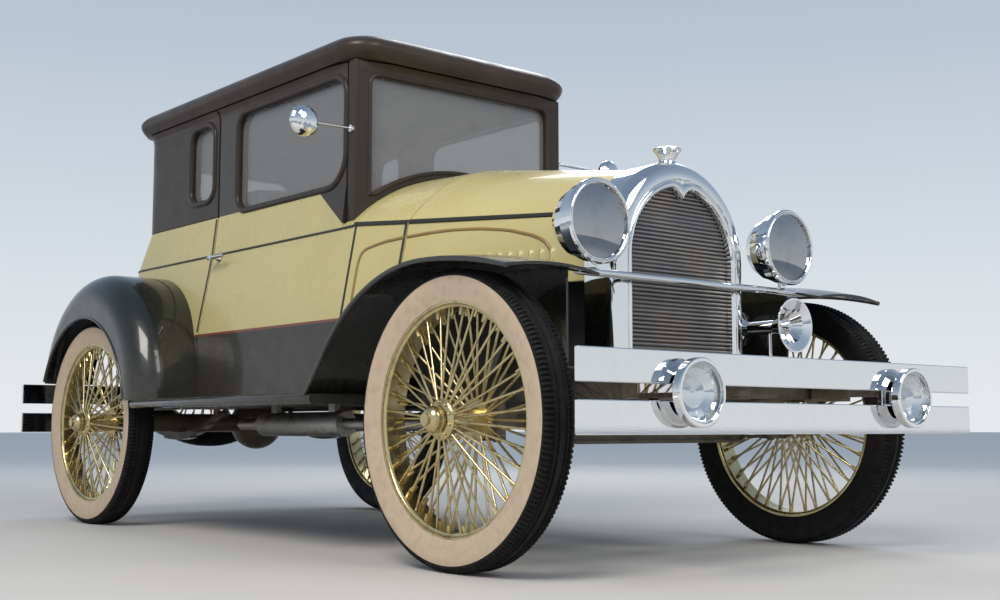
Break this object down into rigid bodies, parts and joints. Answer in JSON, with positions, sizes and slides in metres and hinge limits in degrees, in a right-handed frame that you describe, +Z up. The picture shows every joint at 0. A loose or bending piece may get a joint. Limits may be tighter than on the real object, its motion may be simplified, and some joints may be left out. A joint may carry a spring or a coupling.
{
  "type": "vintage two-seat coupe car",
  "caption": "Closed two-seat coupe in the style of the 1920s, with wire wheels, swept fenders, drum headlamps and a twin-bar bumper.",
  "frame": {"origin": "on the ground under the middle of the car's box", "axes": "+Z up, front towards -Y, the car's left side towards +X"},
  "size_m": [1.664, 3.525, 1.7573],
  "materials": {
    "cream_paint": "gloss cream enamel",
    "dark_paint": "gloss dark grey-green enamel",
    "roof_cloth": "dark brown grained covering",
    "frame_paint": "black enamel",
    "chrome": "polished",
    "brass": "polished",
    "core": "dark honeycomb",
    "tyre": "matt, white side wall",
    "glass": "clear grey",
    "lens": "clear",
    "upholstery": "brown hide",
    "wood": "varnished",
    "iron": "cast",
    "steel": "dull"
  },
  "bodies": {
    "chassis": {"frame_rails": "frame_paint", "tow_eyes": "frame_paint", "front_axle": "frame_paint", "rear_axle": "frame_paint", "springs": "frame_paint", "engine_block": "iron", "exhaust": "steel", "radiator_shell": "chrome", "radiator_core": "core", "cowl": "cream_paint", "body_tub": "cream_paint", "cabin_rear": "dark_paint", "windscreen_frame": "dark_paint", "roof": "roof_cloth", "floor": "frame_paint", "dashboard": "wood", "seat_cushion": "upholstery", "seat_back": "upholstery", "steering_column": "frame_paint", "window_glass": "glass", "front_fenders": "dark_paint", "rear_fenders": "dark_paint", "running_boards": "dark_paint", "lamps": "chrome", "lamp_lenses": "lens", "tie_bar": "chrome", "horn": "chrome", "bumpers": "chrome", "spare_carrier": "frame_paint", "spare_wheel": "brass", "spare_tyre": "tyre", "mirrors": "chrome"},
    "hood_right": {"hood_right": "cream_paint"},
    "hood_left": {"hood_left": "cream_paint"},
    "door_right": {"door_right": "cream_paint", "door_glass_right": "glass", "door_handle_right": "chrome"},
    "door_left": {"door_left": "cream_paint", "door_glass_left": "glass", "door_handle_left": "chrome"},
    "knuckle_right": {"knuckle_right": "frame_paint"},
    "knuckle_left": {"knuckle_left": "frame_paint"},
    "steering_wheel": {"steering_wheel": "wood"},
    "wheel_front_right": {"wheel_front_right": "brass", "tyre_front_right": "tyre"},
    "wheel_front_left": {"wheel_front_left": "brass", "tyre_front_left": "tyre"},
    "wheel_rear_right": {"wheel_rear_right": "brass", "tyre_rear_right": "tyre"},
    "wheel_rear_left": {"wheel_rear_left": "brass", "tyre_rear_left": "tyre"}
  },
  "joints": [
    {"name": "steer_right", "type": "hinge", "parent": "chassis", "child": "knuckle_right", "pos_m": [-0.585, -1.1375, 0.4], "axis": [0, 0, 1], "range_deg": [-26, 26]},
    {"name": "steer_left", "type": "hinge", "parent": "chassis", "child": "knuckle_left", "pos_m": [0.585, -1.1375, 0.4], "axis": [0, 0, 1], "range_deg": [-26, 26]},
    {"name": "steering_wheel_turn", "type": "hinge", "parent": "chassis", "child": "steering_wheel", "pos_m": [0.215, -0.02624, 1.04329], "axis": [0, 0.8191, 0.5736], "range_deg": [-208, 208]},
    {"name": "door_right_hinge", "type": "hinge", "parent": "chassis", "child": "door_right", "pos_m": [-0.572, -0.2815, 0.7], "axis": [0, 0, 1], "range_deg": [0, 65]},
    {"name": "door_left_hinge", "type": "hinge", "parent": "chassis", "child": "door_left", "pos_m": [0.572, -0.2815, 0.7], "axis": [0, 0, -1], "range_deg": [0, 65]},
    {"name": "hood_right_hinge", "type": "hinge", "parent": "chassis", "child": "hood_right", "pos_m": [0, -1.1645, 1.157], "axis": [0, 0.9894, 0.1454], "range_deg": [0, 50]},
    {"name": "hood_left_hinge", "type": "hinge", "parent": "chassis", "child": "hood_left", "pos_m": [0, -1.1645, 1.157], "axis": [0, -0.9894, -0.1454], "range_deg": [0, 50]},
    {"name": "wheel_front_right_spin", "type": "hinge", "parent": "knuckle_right", "child": "wheel_front_right", "pos_m": [-0.71, -1.1375, 0.4], "axis": [1, 0, 0], "continuous": true},
    {"name": "wheel_front_left_spin", "type": "hinge", "parent": "knuckle_left", "child": "wheel_front_left", "pos_m": [0.71, -1.1375, 0.4], "axis": [1, 0, 0], "continuous": true},
    {"name": "wheel_rear_right_spin", "type": "hinge", "parent": "chassis", "child": "wheel_rear_right", "pos_m": [-0.71, 1.2025, 0.4], "axis": [1, 0, 0], "continuous": true},
    {"name": "wheel_rear_left_spin", "type": "hinge", "parent": "chassis", "child": "wheel_rear_left", "pos_m": [0.71, 1.2025, 0.4], "axis": [1, 0, 0], "continuous": true}
  ],
  "couplings": [
    {"joint": "steer_left", "follows": "steer_right", "ratio": 1},
    {"joint": "steering_wheel_turn", "follows": "steer_right", "ratio": 8}
  ]
}
